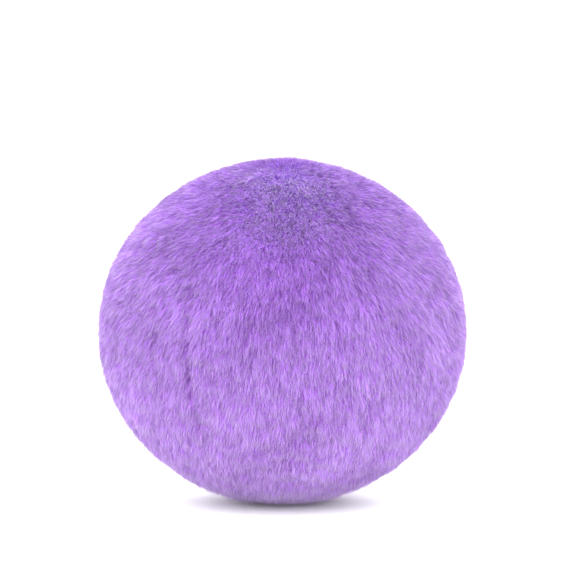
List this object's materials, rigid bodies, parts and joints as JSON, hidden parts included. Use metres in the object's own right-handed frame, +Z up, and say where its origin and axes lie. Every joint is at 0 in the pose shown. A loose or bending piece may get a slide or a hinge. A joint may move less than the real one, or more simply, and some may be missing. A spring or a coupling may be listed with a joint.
{
  "type": "plush covered playground ball",
  "caption": "Soft round playground ball: an inflated rubber ball inside a zip-off cover of long, combed purple faux fur sewn from gores, resting on a small flattened patch.",
  "frame": {"origin": "middle of the flattened patch that the ball rests on, on the ground", "axes": "+Z up through the ball's axis, where the cover's seams meet; -Y faces the front gore"},
  "size_m": [0.2462, 0.2462, 0.2299],
  "materials": {
    "fur": "long combed pile",
    "thread": "spun thread",
    "zip_tape": "woven tape",
    "zip_teeth": "moulded",
    "zip_metal": "satin nickel",
    "label": "woven satin",
    "ball_rubber": "pebbled matte",
    "valve_rubber": "smooth matte"
  },
  "bodies": {
    "root": {"gore_front": "fur", "gore_front_right": "fur", "gore_rear_right": "fur", "gore_rear": "fur", "gore_rear_left": "fur", "gore_front_left": "fur", "seam_thread_front_right": "thread", "seam_thread_right": "thread", "seam_thread_rear_right": "thread", "seam_thread_rear_left": "thread", "seam_thread_left": "thread", "seam_thread_front_left": "thread", "zip_stitching_left": "thread", "zip_stitching_right": "thread", "zip_tape_left": "zip_tape", "zip_tape_right": "zip_tape", "zip_teeth_left": "zip_teeth", "zip_teeth_right": "zip_teeth", "zip_top_stops": "zip_metal", "zip_bottom_stop": "zip_metal", "care_label": "label", "rubber_ball": "ball_rubber", "valve_seat": "valve_rubber", "valve_insert": "valve_rubber"},
    "slider": {"zip_slider": "zip_metal"},
    "pull": {"zip_pull": "zip_metal"}
  },
  "joints": [
    {"name": "zip_travel", "type": "hinge", "parent": "root", "child": "slider", "pos_m": [-0.006, 0.01039, 0.11397], "axis": [-0.866, -0.5, 0], "range_deg": [0, 71.5]},
    {"name": "pull_turn", "type": "hinge", "parent": "slider", "child": "pull", "pos_m": [-0.04774, 0.08269, 0.17803], "axis": [0.866, 0.5, 0], "range_deg": [0, 150]}
  ]
}
